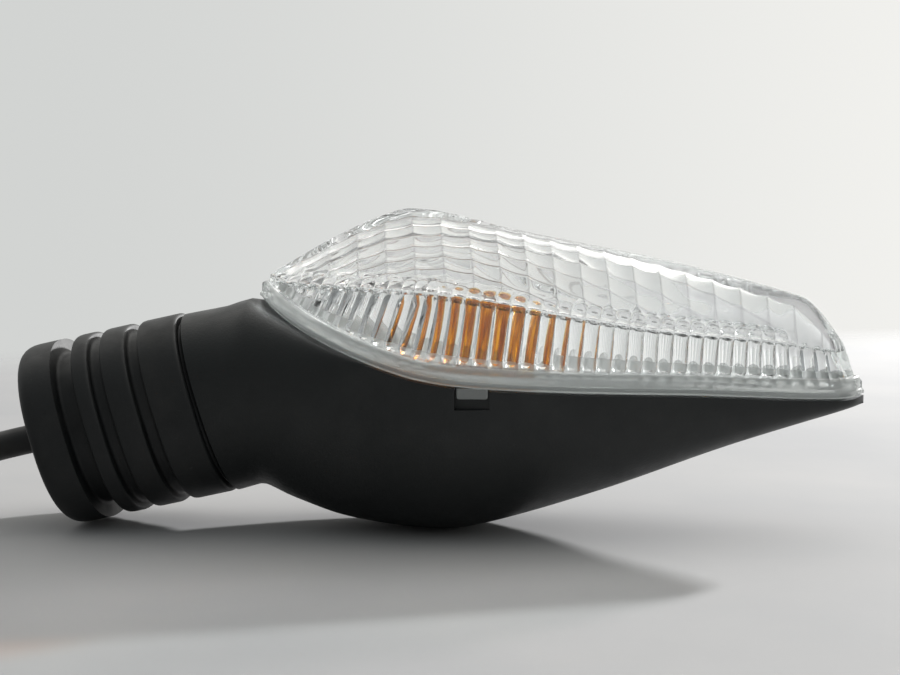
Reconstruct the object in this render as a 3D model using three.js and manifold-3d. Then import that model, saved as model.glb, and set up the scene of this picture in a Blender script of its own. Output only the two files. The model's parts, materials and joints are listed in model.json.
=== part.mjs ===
// Motorcycle turn signal indicator: a rubber stalk, a boat-shaped housing and a clear fluted lens.
// Millimetres, +Z up, lying lens up on its belly. The tip points along +X, the stalk along -X.
import * as THREE from 'three';
import { mergeVertices } from 'three/addons/utils/BufferGeometryUtils.js';
import Module from 'manifold-3d';

const wasm = await Module();
wasm.setup();

// ---- driving dimensions ------------------------------------------------------------------------

const LAMP_LENGTH = 150;
const TIP_X = LAMP_LENGTH / 2;
const RIM_START_X = -32.5;
const RIM_START_Z = 40.8;
const RIM_END_Z = 24.0;
const RIM_DROOP = 0.40;
const RIM_CREST_RADIUS = 3;
const WALL = 2.2;
const GAP = 0.3;
const RIM_STEPS = 28;

// Lens: a lip round the rim, a fluted wall up to a ridge, and a dome above the ridge.
const LENS_LIFT = 1.15;
const LIP_WIDTH = 0.6;
const LENS_FLANGE_TOP = 3.3;
const LENS_LEDGE = 1.5;
const WALL_SLANT = 0.33;
const LENS_THICKNESS = 2.2;
const SPINE_START_X = -8;
const SPINE_END_X = 62;
const TAB_X = 7;
const TAB_WIDTH = 5.2;
const TAB_DROP = 1.5;
const TAB_THICKNESS = 0.75;
const NOTCH_DROP = 3.3;
const NOTCH_DEPTH = 1.1;

// Stalk: measured from the seam against the housing neck back to the end flange.
const SEAM = new THREE.Vector3(-41.5, 0, 22.1);
const STALK_RISE = THREE.MathUtils.degToRad(12.5);
const STALK_LEAN = THREE.MathUtils.degToRad(18);
const STALK_LENGTH = 29.6;
const COLLAR_END = 7.4;
const RIB_EDGES = [9.6, 14.2, 16.4, 19.4];
const FLANGE_START = 23.0;
const FLANGE_FILLET = 2.4;
const STALK_HALF_HEIGHT = 16.7;
const COLLAR_HALF_WIDTH = 14.4;
const FLANGE_HALF_WIDTH = 16.6;
const SMALL_GROOVE = 1.7;
const PANEL_GROOVE = 2.8;
const BORE_RADIUS = 5.6;
const CORE_RADIUS = 7.1;
const PLATE_RADIUS = 11;
const PLATE_START = 24.7;
const PLATE_END = 25.9;
const RELIEF_END = 32;

// Bulb: a 12 V, 10 W bayonet bulb with a 19 mm globe, standing upright in its sprung socket.
const BULB_X = 8.5;
const GLOBE_RADIUS = 9.5;
const BULB_TIP_Z = 8.25;
const GLOBE_Z = BULB_TIP_Z + 24;
const GLASS_WALL = 0.8;
const GLASS_NECK_RADIUS = 6.6;
const GLASS_BOTTOM_Z = BULB_TIP_Z + 9.2;
const BASE_RADIUS = 7.5;
const BASE_BOTTOM_Z = BULB_TIP_Z + 1.25;
const BASE_TOP_Z = BULB_TIP_Z + 15.3;
const PIN_Z = BULB_TIP_Z + 7.2;
const PIN_RADIUS = 1;
const PIN_END = 9.3;
const SOCKET_INNER = 7.9;
const SOCKET_OUTER = 8.7;
const SOCKET_FOOT = 5;
const SOCKET_BOTTOM_Z = 3.8;
const SOCKET_SHOULDER_Z = 6.4;
const SOCKET_TOP_Z = 21.8;
const BOSS_RADIUS = 10.5;
const BOSS_TOP_Z = 5.1;
const SEAT_Z = 4.8;
const STRIP_Z = 5.65;
const EARTH_TAG = new THREE.Vector3(BULB_X - SOCKET_OUTER - 0.7, 3.4, 13);
const SPRING_BOTTOM_Z = 6.15;
const SPRING_TOP_Z = 6.95;
const DISC_Z = 7.3;
const REFLECTOR_HOLE = 10.4;
const REFLECTOR_HOLE_Z = 22.6;

// Lead: a sheathed two-core cable that is put away as a coil, and its two-way connector.
const LEAD_RADIUS = 2.6;
const COIL_RADIUS = 26;
const COIL_CENTRE = new THREE.Vector3(-129, -14, 0);

// ---- solids from stacked rings --------------------------------------------------------------------

function signedVolume(position, index) {
  const a = new THREE.Vector3();
  const b = new THREE.Vector3();
  const c = new THREE.Vector3();
  let volume = 0;
  for (let i = 0; i < index.length; i += 3) {
    a.fromBufferAttribute(position, index[i]);
    b.fromBufferAttribute(position, index[i + 1]);
    c.fromBufferAttribute(position, index[i + 2]);
    volume += a.dot(b.cross(c)) / 6;
  }
  return volume;
}

// Joins the shared vertices, drops triangles with no area and turns the faces outwards.
function closedGeometry(geometry) {
  const bare = new THREE.BufferGeometry();
  bare.setAttribute('position', geometry.getAttribute('position').clone());
  if (geometry.index) bare.setIndex(geometry.index.clone());
  const merged = mergeVertices(bare, 1e-3);
  const source = merged.index.array;
  const index = [];
  for (let i = 0; i < source.length; i += 3) {
    const [a, b, c] = [source[i], source[i + 1], source[i + 2]];
    if (a !== b && b !== c && c !== a) index.push(a, b, c);
  }
  if (signedVolume(merged.getAttribute('position'), index) < 0) index.reverse();
  merged.setIndex(index);
  return merged;
}

// Skins a list of rings with the same number of points. Open stacks get a flat cap on each end
// unless that end has already come together in a line or a point.
function stack(rings, { loop = false, capStart = true, capEnd = true } = {}) {
  const count = rings[0].length;
  const points = rings.flat();
  const index = [];
  const last = loop ? rings.length : rings.length - 1;
  for (let i = 0; i < last; i++) {
    const here = i * count;
    const next = ((i + 1) % rings.length) * count;
    for (let j = 0; j < count; j++) {
      const k = (j + 1) % count;
      index.push(here + j, here + k, next + k);
      index.push(here + j, next + k, next + j);
    }
  }
  const cap = (start, forward) => {
    const centre = new THREE.Vector3();
    for (let j = 0; j < count; j++) centre.addScaledVector(points[start + j], 1 / count);
    points.push(centre);
    for (let j = 0; j < count; j++) {
      const k = (j + 1) % count;
      if (forward) index.push(points.length - 1, start + j, start + k);
      else index.push(points.length - 1, start + k, start + j);
    }
  };
  if (!loop && capStart) cap(0, false);
  if (!loop && capEnd) cap((rings.length - 1) * count, true);
  const geometry = new THREE.BufferGeometry();
  geometry.setAttribute('position', new THREE.Float32BufferAttribute(points.flatMap((p) => p.toArray()), 3));
  geometry.setIndex(index);
  return closedGeometry(geometry);
}

function toManifold(geometry) {
  const closed = closedGeometry(geometry);
  return new wasm.Manifold(new wasm.Mesh({
    numProp: 3,
    vertProperties: new Float32Array(closed.getAttribute('position').array),
    triVerts: new Uint32Array(closed.index.array),
  }));
}

// The slivers that a cut leaves are removed on the way back.
function fromManifold(solid) {
  const mesh = solid.simplify(0.005).getMesh();
  const geometry = new THREE.BufferGeometry();
  geometry.setAttribute('position', new THREE.Float32BufferAttribute(mesh.vertProperties, 3));
  geometry.setIndex(Array.from(mesh.triVerts));
  return geometry;
}

function cut(geometry, ...tools) {
  return fromManifold(tools.reduce((solid, tool) => solid.subtract(toManifold(tool)), toManifold(geometry)));
}

function join(geometry, ...others) {
  return fromManifold(others.reduce((solid, other) => solid.add(toManifold(other)), toManifold(geometry)));
}

function common(geometry, other) {
  return fromManifold(toManifold(geometry).intersect(toManifold(other)));
}

function boxAt(width, depth, height, x, y, z) {
  return new THREE.BoxGeometry(width, depth, height).translate(x, y, z);
}

// A turned piece standing on the bulb axis, from [radius, height] pairs.
function turned(profile, segments = 24) {
  const geometry = new THREE.LatheGeometry(profile.map(([r, z]) => new THREE.Vector2(r, z)), segments);
  return geometry.rotateX(Math.PI / 2).translate(BULB_X, 0, 0);
}

// A turned ring, and a turned disc, between two heights.
function washer(inner, outer, bottom, top, segments = 24) {
  return turned([[outer, bottom], [outer, top], [inner, top], [inner, bottom], [outer, bottom]], segments);
}

function disc(radius, bottom, top, segments = 24) {
  return turned([[0, bottom], [radius, bottom], [radius, top], [0, top]], segments);
}

function tube(route, radius, sides, steps) {
  const section = new THREE.Shape();
  for (let i = 0; i < sides; i++) {
    const angle = (2 * Math.PI * i) / sides;
    const [x, y] = [radius * Math.cos(angle), radius * Math.sin(angle)];
    if (i === 0) section.moveTo(x, y);
    else section.lineTo(x, y);
  }
  const path = new THREE.CatmullRomCurve3(route, false, 'centripetal');
  return new THREE.ExtrudeGeometry(section, { steps, extrudePath: path, bevelEnabled: false });
}

// ---- the rim: its plan outline and its saddle height ----------------------------------------------

// Half width of the rim from the stalk end to the tip.
const RIM_OUTLINE = new THREE.SplineCurve([
  new THREE.Vector2(RIM_START_X, 0),
  new THREE.Vector2(-28.9, 6.4),
  new THREE.Vector2(-20.7, 14.3),
  new THREE.Vector2(-8.8, 20.9),
  new THREE.Vector2(2.5, 22.9),
  new THREE.Vector2(21.6, 19.2),
  new THREE.Vector2(45.4, 12.4),
  new THREE.Vector2(64, 7.4),
  new THREE.Vector2(72, 4.2),
  new THREE.Vector2(TIP_X, 0),
]);
const RIM_SAMPLES = RIM_OUTLINE.getPoints(400);

function sampled(points, x) {
  if (x <= points[0].x) return points[0].y;
  for (let i = 1; i < points.length; i++) {
    const [before, after] = [points[i - 1], points[i]];
    if (x <= after.x) return before.y + ((after.y - before.y) * (x - before.x)) / (after.x - before.x);
  }
  return points[points.length - 1].y;
}

function curveOf(...pairs) {
  const points = new THREE.SplineCurve(pairs.map(([x, z]) => new THREE.Vector2(x, z))).getPoints(160);
  return (x) => sampled(points, x);
}

const rimHalfWidth = (x) => Math.max(0, sampled(RIM_SAMPLES, x));

// Height of the rim: a straight spine from stalk to tip that droops like a roof to each side.
function rimHeight(x, y) {
  const spine = RIM_START_Z + ((RIM_END_Z - RIM_START_Z) * (x - RIM_START_X)) / (TIP_X - RIM_START_X);
  return spine - RIM_DROOP * (Math.hypot(y, RIM_CREST_RADIUS) - RIM_CREST_RADIUS);
}

// Stations from end to end, close together where the outline turns.
function rimStation(fraction) {
  return RIM_START_X + ((TIP_X - RIM_START_X) * (1 - Math.cos(Math.PI * fraction))) / 2;
}

const mirrored = (point) => new THREE.Vector2(point.x, -point.y);

// Where a line through two points meets the centre line.
function centreCrossing(a, b) {
  return new THREE.Vector2(a.x - (a.y * (b.x - a.x)) / (b.y - a.y), 0);
}

// The rim outline moved inwards by a distance that may vary with x. It is worked out for the near
// side and mirrored. Where the two sides would cross at an end, they meet in one point instead.
function rimRing(inset) {
  const near = [];
  for (let i = 0; i <= RIM_STEPS; i++) {
    const x = rimStation(i / RIM_STEPS);
    near.push(new THREE.Vector2(x, -rimHalfWidth(x)));
  }
  const moved = near.map((point, i) => {
    const before = near[i - 1] ?? mirrored(near[1]);
    const after = near[i + 1] ?? mirrored(near[RIM_STEPS - 1]);
    const normal = new THREE.Vector2(before.y - after.y, after.x - before.x).normalize();
    return point.clone().addScaledVector(normal, inset(point.x));
  });
  moved[0].y = 0;
  moved[RIM_STEPS].y = 0;
  const first = moved.findIndex((point) => point.y < 0);
  const last = moved.findLastIndex((point) => point.y < 0);
  if (first > 1) moved.fill(centreCrossing(moved[first - 1], moved[first]), 0, first);
  if (last < RIM_STEPS - 1) moved.fill(centreCrossing(moved[last], moved[last + 1]), last + 1);
  const far = moved.slice(1, RIM_STEPS).reverse().map(mirrored);
  return [...moved, ...far];
}

function liftRing(ring, height) {
  return ring.map((p) => new THREE.Vector3(p.x, p.y, height(p.x, p.y)));
}

// ---- housing -------------------------------------------------------------------------------------

// Side view of the body: its underside, and its top between the seam and the rim.
const BELLY = curveOf([-48, 4.6], [-36, 7.2], [-32, 7.0], [-25.4, 4.9], [-16.3, 1.9], [-4, 0.2], [7, 0.75],
  [28.8, 7.1], [52, 15.4], [TIP_X, 22.6]);
const NECK_TOP = curveOf([-55, 34.9], [-46.4, 36.6], [-35, 39.2], [RIM_START_X, RIM_START_Z]);
const NECK_HALF_WIDTH = 13.6;

// Half width of the body at its widest level: the neck flares into the rim outline.
function bodyHalfWidth(x) {
  const flare = THREE.MathUtils.smoothstep(x, -44, -4);
  const fade = 1 - THREE.MathUtils.smoothstep(x, -8, 12);
  return Math.max(rimHalfWidth(x), NECK_HALF_WIDTH + 7 * flare * fade);
}

// The cavity stays below the rim under the shoulders beside the neck, and opens through it further on.
const roofDrop = (x) => THREE.MathUtils.lerp(WALL, -1, THREE.MathUtils.smoothstep(x, -14, -4));

// Closed section of the body at x, moved inwards by the inset. A lean of 1 tilts it like the stalk.
function bodySection(x, inset, lean) {
  const rimHalf = Math.max(0, rimHalfWidth(x) - inset);
  const wide = Math.max(x < 0 ? bodyHalfWidth(x) - inset : rimHalf, rimHalf);
  const bottom = BELLY(x) + inset;
  const top = x < RIM_START_X ? NECK_TOP(x) - inset : rimHeight(x, rimHalf) - (inset > 0 ? roofDrop(x) : 0);
  const widest = THREE.MathUtils.lerp(0.45, 0.8, THREE.MathUtils.smoothstep(x, -40, 0));
  const middle = bottom + (top - bottom) * widest;
  const half = [];
  const steps = 6;
  for (let i = 0; i <= steps; i++) {
    const angle = (Math.PI / 2) * (i / steps);
    half.push([wide * Math.sin(angle) ** 0.85, middle - (middle - bottom) * Math.cos(angle) ** 0.85]);
  }
  for (let i = 1; i <= steps; i++) {
    const angle = (Math.PI / 2) * (i / steps);
    half.push([rimHalf + (wide - rimHalf) * Math.cos(angle) ** 0.85,
      middle + (top - middle) * Math.sin(angle) ** 0.85]);
  }
  const capSteps = 3;
  for (let i = 1; i <= capSteps; i++) {
    const y = rimHalf * (1 - i / capSteps);
    const lift = x < RIM_START_X ? 0 : rimHeight(x, y) - rimHeight(x, rimHalf);
    half.push([y, top + lift]);
  }
  const loop = [...half.map(([y, z]) => [-y, z]), ...half.slice(1, -1).reverse()];
  return loop.map(([y, z]) => new THREE.Vector3(x - lean * (z - SEAM.z) * Math.tan(STALK_LEAN), y, z));
}

// Stations of the body run from the leaning seam to the upright tip.
function bodyStack(inset, startX, endX, steps) {
  const rings = [];
  for (let i = 0; i <= steps; i++) {
    const along = 1 - (1 - i / steps) ** 1.25;
    const x = startX + (endX - startX) * along;
    rings.push(bodySection(x, inset, 1 - THREE.MathUtils.smoothstep(x, -42, -24)));
  }
  return rings;
}

function makeHousing() {
  const outer = stack(bodyStack(0, SEAM.x + GAP, TIP_X - 0.05, 28));
  const cavity = stack(bodyStack(WALL, -36, TIP_X - 4, 22));
  const mouth = rimRing(() => WALL + 0.4);
  const opening = stack([liftRing(mouth, (x, y) => rimHeight(x, y) - roofDrop(x) - 0.5),
    liftRing(mouth, (x, y) => rimHeight(x, y) + 12)]);
  const boss = common(disc(BOSS_RADIUS, 0.2, BOSS_TOP_Z), outer);
  const bore = stalkTube(CORE_RADIUS + GAP, -9, 12);
  const notches = [-1, 1].map((side) => {
    const edge = rimHalfWidth(TAB_X);
    const bottom = rimHeight(TAB_X, edge) - NOTCH_DROP;
    return boxAt(TAB_WIDTH + 2 * GAP, 4, 12, TAB_X, side * (edge - NOTCH_DEPTH + 2), bottom + 6);
  });
  const seat = turned([[0, SOCKET_BOTTOM_Z - GAP], [SOCKET_FOOT + 0.4, SOCKET_BOTTOM_Z - GAP],
    [SOCKET_OUTER + 0.4, SOCKET_SHOULDER_Z - GAP], [SOCKET_OUTER + 0.4, 12], [0, 12]], 32);
  return cut(join(cut(outer, cavity, opening), boss), seat, bore, ...notches);
}

// ---- stalk frame -----------------------------------------------------------------------------------

const STALK_AXIS = new THREE.Vector3(Math.cos(STALK_RISE), 0, Math.sin(STALK_RISE));
const STALK_UP = new THREE.Vector3(-Math.sin(STALK_LEAN), 0, Math.cos(STALK_LEAN));

// A point of the stalk, from its distance behind the seam and its place in the leaning section.
function stalkPoint(behind, y, up) {
  return SEAM.clone().addScaledVector(STALK_AXIS, -behind).addScaledVector(STALK_UP, up)
    .add(new THREE.Vector3(0, y, 0));
}

// Rounded section, widest below its middle and narrower towards the lens side.
function stalkRing(behind, shrink, count = 32) {
  const share = behind / STALK_LENGTH;
  const halfWidth = THREE.MathUtils.lerp(COLLAR_HALF_WIDTH, FLANGE_HALF_WIDTH, share) - shrink;
  const halfHeight = STALK_HALF_HEIGHT - shrink;
  const ring = [];
  for (let i = 0; i < count; i++) {
    const angle = (2 * Math.PI * i) / count;
    const [c, s] = [Math.cos(angle), Math.sin(angle)];
    const round = (v) => Math.sign(v) * Math.abs(v) ** 0.8;
    const up = halfHeight * round(s);
    ring.push(stalkPoint(behind, halfWidth * round(c) * (1 - (0.09 * up) / halfHeight), up));
  }
  return ring;
}

function stalkCircle(behind, radius, count = 20) {
  const ring = [];
  for (let i = 0; i < count; i++) {
    const angle = (2 * Math.PI * i) / count;
    ring.push(stalkPoint(behind, radius * Math.cos(angle), radius * Math.sin(angle)));
  }
  return ring;
}

function stalkTube(radius, from, to, count = 20) {
  return stack([stalkCircle(from, radius, count), stalkCircle(to, radius, count)]);
}

function makeRubberStalk() {
  const rings = [stalkRing(GAP, 1), stalkRing(GAP + 0.8, 0), stalkRing(COLLAR_END, 0)];
  const steps = [COLLAR_END, ...RIB_EDGES, FLANGE_START];
  for (let i = 0; i < steps.length - 1; i += 2) {
    const depth = steps[i + 1] === FLANGE_START ? PANEL_GROOVE : SMALL_GROOVE;
    rings.push(stalkRing(steps[i], depth), stalkRing(steps[i + 1], depth), stalkRing(steps[i + 1], 0));
    if (i + 2 < steps.length) rings.push(stalkRing(steps[i + 2], 0));
  }
  const filletStart = STALK_LENGTH - FLANGE_FILLET;
  for (let i = 0; i <= 3; i++) {
    const angle = (Math.PI / 2) * (i / 3);
    const behind = filletStart + FLANGE_FILLET * Math.sin(angle);
    rings.push(stalkRing(behind, FLANGE_FILLET * (1 - Math.cos(angle))));
  }
  const core = stalkTube(CORE_RADIUS + GAP, -1, COLLAR_END + 2);
  const plateSlot = stalkTube(PLATE_RADIUS + GAP, PLATE_START - GAP, PLATE_END + GAP, 28);
  return cut(stack(rings), stalkTube(BORE_RADIUS, -1, STALK_LENGTH + 1), core, plateSlot);
}

// A round hollow piece on the stalk axis, from [distance behind the seam, outer radius] pairs.
function stalkSleeve(profile, boreRadius) {
  const outer = stack(profile.map(([behind, radius]) => stalkCircle(behind, radius)));
  const ends = [profile[0][0], profile[profile.length - 1][0]];
  return cut(outer, stalkTube(boreRadius, Math.min(...ends) - 1, Math.max(...ends) + 1));
}

const makeStalkCore = () => stalkSleeve([[-7.8, 9], [-6.2, 9], [-6.2, CORE_RADIUS], [8, CORE_RADIUS]], 5);
const makeFlangePlate = () => stalkSleeve([[PLATE_START, PLATE_RADIUS], [PLATE_END, PLATE_RADIUS]], 6);

function makeStrainRelief() {
  const shoulder = STALK_LENGTH + GAP;
  const profile = [[23.6, 5.3], [shoulder, 5.3], [shoulder, 3.7], [RELIEF_END, 3.4]];
  return stalkSleeve(profile, LEAD_RADIUS + GAP);
}

// ---- lens, gasket and reflector --------------------------------------------------------------------

// Side view of the lens: the ridge along the top of its wall, and the crest line of its dome.
const RIDGE = curveOf([RIM_START_X, 45], [-28, 45.2], [-19, 45], [-11, 44.8], [-1.6, 44.3], [7.2, 42.9],
  [21.8, 40.3], [39.9, 37.2], [59.9, 35], [TIP_X, 32.6]);
const CREST = curveOf([-26, 47.8], [-18.3, 52.2], [SPINE_START_X, 56.4], [-2.9, 56.7], [3.1, 55.7],
  [14.6, 52.9], [38.2, 48.2], [52.1, 44.8], [63.5, 41.4]);

const ridgeInset = (x) => {
  const foot = rimHeight(x, rimHalfWidth(x)) + LENS_FLANGE_TOP;
  return LENS_LEDGE + WALL_SLANT * Math.max(0, RIDGE(x) - foot);
};

// One ring of the dome, from the ridge (share 0) to the crest line (share 1).
function domeRing(share, inward) {
  const thin = (x) => inward * THREE.MathUtils.lerp(1, 0.65, THREE.MathUtils.smoothstep(x, 45, 70));
  const ridge = rimRing((x) => ridgeInset(x) + thin(x));
  const [startX, endX] = [ridge[0].x, ridge[RIM_STEPS].x];
  const [spineStart, spineEnd] = [SPINE_START_X + inward, SPINE_END_X - inward];
  return ridge.map((point) => {
    const spineX = THREE.MathUtils.mapLinear(point.x, startX, endX, spineStart, spineEnd);
    const fullness = THREE.MathUtils.lerp(0.35, 1, THREE.MathUtils.smoothstep(point.x, -30, -12));
    const rise = THREE.MathUtils.lerp(share, Math.sin((Math.PI / 2) * share), fullness);
    const low = RIDGE(point.x) - 0.8 * inward;
    return new THREE.Vector3(
      THREE.MathUtils.lerp(point.x, spineX, share),
      point.y * (1 - share),
      THREE.MathUtils.lerp(low, CREST(spineX) - inward, rise),
    );
  });
}

function rimBand(inset, lift) {
  return liftRing(rimRing(() => inset), (x, y) => rimHeight(x, y) + lift);
}

function makeLens() {
  const inner = [1, 0.8, 0.6, 0.4, 0.2, 0].map((share) => domeRing(share, LENS_THICKNESS));
  const base = [rimBand(2.9, LENS_LIFT), rimBand(LIP_WIDTH, LENS_LIFT), rimBand(LIP_WIDTH, GAP),
    rimBand(0, GAP), rimBand(0, LENS_FLANGE_TOP), rimBand(LENS_LEDGE, LENS_FLANGE_TOP)];
  const dome = [0, 0.14, 0.28, 0.42, 0.56, 0.7, 0.85, 1].map((share) => domeRing(share, 0));
  const shell = stack([...inner, ...base, ...dome], { capStart: false, capEnd: false });
  const tabs = [-1, 1].map((side) => {
    const edge = rimHalfWidth(TAB_X);
    const bottom = rimHeight(TAB_X, edge) - TAB_DROP;
    const height = TAB_DROP + 2.4;
    const middle = edge - TAB_THICKNESS / 2;
    return boxAt(TAB_WIDTH, TAB_THICKNESS, height, TAB_X, side * middle, bottom + height / 2);
  });
  return join(shell, ...tabs);
}

function makeGasket() {
  const [outer, inner] = [1.1, 2.1];
  const [bottom, top] = [GAP, 0.75];
  const rings = [rimBand(outer, bottom), rimBand(inner, bottom), rimBand(inner, top), rimBand(outer, top)];
  return stack(rings, { loop: true });
}

// How far the dish's edge stays inside the rim: further at both ends, where the body narrows.
const dishInset = (x) => {
  const nearStalk = 1.2 * THREE.MathUtils.smoothstep(-x, 20, 30);
  const nearTip = 3.6 * THREE.MathUtils.smoothstep(x, 45, 70);
  return 3 + nearStalk + nearTip;
};

// One ring of the dish, from the bulb hole (share 0) to the edge inside the rim (share 1).
function dishRing(share, lift) {
  return rimRing(dishInset).map((point) => {
    const angle = Math.atan2(point.y, point.x - BULB_X);
    const edgeZ = rimHeight(point.x, point.y) - 2.2;
    return new THREE.Vector3(
      THREE.MathUtils.lerp(BULB_X + REFLECTOR_HOLE * Math.cos(angle), point.x, share),
      THREE.MathUtils.lerp(REFLECTOR_HOLE * Math.sin(angle), point.y, share),
      THREE.MathUtils.lerp(REFLECTOR_HOLE_Z, edgeZ, share ** 1.5) + lift,
    );
  });
}

function makeReflector() {
  const shares = [0, 0.25, 0.5, 0.75, 1];
  const under = shares.map((share) => dishRing(share, 0));
  const above = shares.map((share) => dishRing(share, 1)).reverse();
  return stack([...under, ...above], { loop: true });
}

// ---- socket and bulb ---------------------------------------------------------------------------------

// A bayonet socket shell: each J-shaped slot is a window for the locked pin and an entry from the top.
function makeSocketShell() {
  const sheet = 0.7;
  const windowX = 1.55;
  const entryX = 3.3;
  const profile = [
    [0, SOCKET_BOTTOM_Z],
    [SOCKET_FOOT, SOCKET_BOTTOM_Z],
    [SOCKET_OUTER, SOCKET_SHOULDER_Z],
    [SOCKET_OUTER, SOCKET_TOP_Z],
    [SOCKET_INNER, SOCKET_TOP_Z],
    [SOCKET_INNER, SOCKET_SHOULDER_Z + GAP],
    [SOCKET_FOOT - 0.2, SOCKET_BOTTOM_Z + sheet],
    [0, SOCKET_BOTTOM_Z + sheet],
  ];
  const shell = turned(profile, 32);
  const slots = [-1, 1].flatMap((side) => [
    boxAt(6.2, 4, 3.4, BULB_X + side * windowX, side * 7.6, PIN_Z - 0.3),
    boxAt(2.7, 4, 10, BULB_X + side * entryX, side * 7.6, PIN_Z + 4),
  ]);
  const stripSlot = boxAt(6, 4, 1.2, BULB_X - SOCKET_OUTER + 1, 0, STRIP_Z);
  return cut(shell, ...slots, stripSlot);
}

function makeContactSpring() {
  const turns = 1.5;
  const route = [];
  for (let i = 0; i <= turns * 12; i++) {
    const angle = (2 * Math.PI * i) / 12;
    const height = THREE.MathUtils.lerp(SPRING_BOTTOM_Z, SPRING_TOP_Z, i / (turns * 12));
    route.push(new THREE.Vector3(BULB_X + 3.6 * Math.cos(angle), 3.6 * Math.sin(angle), height));
  }
  return tube(route, 0.22, 6, 32);
}

// The globe: a thin-walled envelope, open below where the stem is sealed in on the real bulb.
function glassProfile(inset) {
  const radius = GLOBE_RADIUS - inset;
  const neck = GLASS_NECK_RADIUS - inset;
  const neckAngle = Math.asin(neck / radius);
  const profile = [];
  for (let i = 0; i <= 7; i++) {
    const angle = THREE.MathUtils.lerp(0, Math.PI - neckAngle, i / 7);
    profile.push([radius * Math.sin(angle), GLOBE_Z + radius * Math.cos(angle)]);
  }
  profile.push([neck, GLASS_BOTTOM_Z]);
  return profile;
}

const makeBulbGlass = () => turned([...glassProfile(0), ...glassProfile(GLASS_WALL).reverse()], 22);

// The lower bulb pieces are given by their heights above the tip of the bulb.
const aboveTip = (profile) => profile.map(([r, z]) => [r, z + BULB_TIP_Z]);
const BULB_CONTACT = [[0, 0], [1.8, 0], [2.2, 0.45], [2.2, 1.05], [1.2, 1.05], [1.2, 2.75], [0, 2.75]];
const BULB_STEM = [[0, 9.7], [3.2, 9.7], [2.6, 13.7], [1.5, 17.2], [0, 17.2]];
const makeBulbContact = () => turned(aboveTip(BULB_CONTACT), 16);
const makeBulbInsulator = () => washer(1.5, 6.8, BULB_TIP_Z + 1.45, BULB_TIP_Z + 3.15);
const makeBulbStem = () => turned(aboveTip(BULB_STEM), 16);

const makeBulbBase = () => washer(BASE_RADIUS - 0.4, BASE_RADIUS, BASE_BOTTOM_Z, BASE_TOP_Z, 28);

function makeBulbPin(side) {
  const start = BASE_RADIUS + GAP;
  const pin = new THREE.CylinderGeometry(PIN_RADIUS, PIN_RADIUS, PIN_END - start, 16);
  return pin.translate(BULB_X, side * ((start + PIN_END) / 2), PIN_Z);
}

function makeFilamentPost(side) {
  const route = aboveTip([[0.8, 17.6], [1.2, 19.4], [2.9, 21.8], [3.2, 23.7]]);
  return tube(route.map(([y, z]) => new THREE.Vector3(BULB_X, side * y, z)), 0.25, 8, 8);
}

function makeFilament() {
  const route = aboveTip([[-2.6, 23.7], [-1.4, 24.6], [0, 24.9], [1.4, 24.6], [2.6, 23.7]]);
  return tube(route.map(([y, z]) => new THREE.Vector3(BULB_X, y, z)), 0.3, 8, 12);
}

// ---- leads and connector ------------------------------------------------------------------------------

const WIRE_RADIUS = 0.9;
const WIRE_SPREAD = 1.7;
const LIVE_WIRE_END = new THREE.Vector3(-4.6, 0, 7);
const EARTH_WIRE_END = new THREE.Vector3(EARTH_TAG.x - 1, EARTH_TAG.y, 9);

// The wire on the head side runs from the terminal through the cavity and the core to the flexing
// point, and the wire on the stalk side runs on from there into the lead.
function headWire(side, end) {
  const route = [
    stalkPoint(14, side * WIRE_SPREAD, 0),
    stalkPoint(6, side * WIRE_SPREAD, 0),
    stalkPoint(-7, side * WIRE_SPREAD, 0),
    new THREE.Vector3(-26, side * 2.2, 20),
    new THREE.Vector3(-15, side * 2.8, 13),
    new THREE.Vector3(-9, side * 2.8, (end.z + 10) / 2),
    end,
  ];
  return tube(route, WIRE_RADIUS, 8, 14);
}

function stalkWire(side) {
  const route = [
    stalkPoint(16.6, side * WIRE_SPREAD, 0),
    stalkPoint(22, side * 1.6, 0),
    stalkPoint(STALK_LENGTH, side * 1.2, 0),
  ];
  return tube(route, WIRE_RADIUS, 8, 4);
}

// The lead leaves the flange straight, sinks to the ground and bears away to meet the coil.
const LEAD_ROUTE = [[-76.7, 0, 14.3], [-83, 0, 12.7], [-90, 0.8, 10.5], [-97, 2.7, 7.9], [-103.6, 5.1, 5.6]];
const TAIL_Y = COIL_CENTRE.y - COIL_RADIUS;
const TAIL_ROUTE = [[-111, TAIL_Y, 5.5], [-108, TAIL_Y, 4.8], [-106, TAIL_Y, 4.4]];
const CONNECTOR_X = -105.7;
const CONNECTOR_Z = 4.4;
const WAY_SPACING = 6;

const vectors = (points) => points.map((p) => new THREE.Vector3(...p));
const makeLead = () => tube([stalkPoint(30, 0, 0), ...vectors(LEAD_ROUTE)], LEAD_RADIUS, 10, 9);
const makeLeadTail = () => tube(vectors(TAIL_ROUTE), LEAD_RADIUS, 10, 3);

// The coiled part of the lead is one ring, as high as two passes of it with a little room.
function makeLeadCoil() {
  const [inner, outer] = [COIL_RADIUS - LEAD_RADIUS, COIL_RADIUS + LEAD_RADIUS];
  const [low, high] = [0.05, 4 * LEAD_RADIUS + 0.8];
  const profile = [[inner, low], [outer, low], [outer, high], [inner, high], [inner, low]];
  const ring = new THREE.LatheGeometry(profile.map(([r, z]) => new THREE.Vector2(r, z)), 36);
  return ring.rotateX(Math.PI / 2).translate(COIL_CENTRE.x, COIL_CENTRE.y, 0);
}

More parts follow.
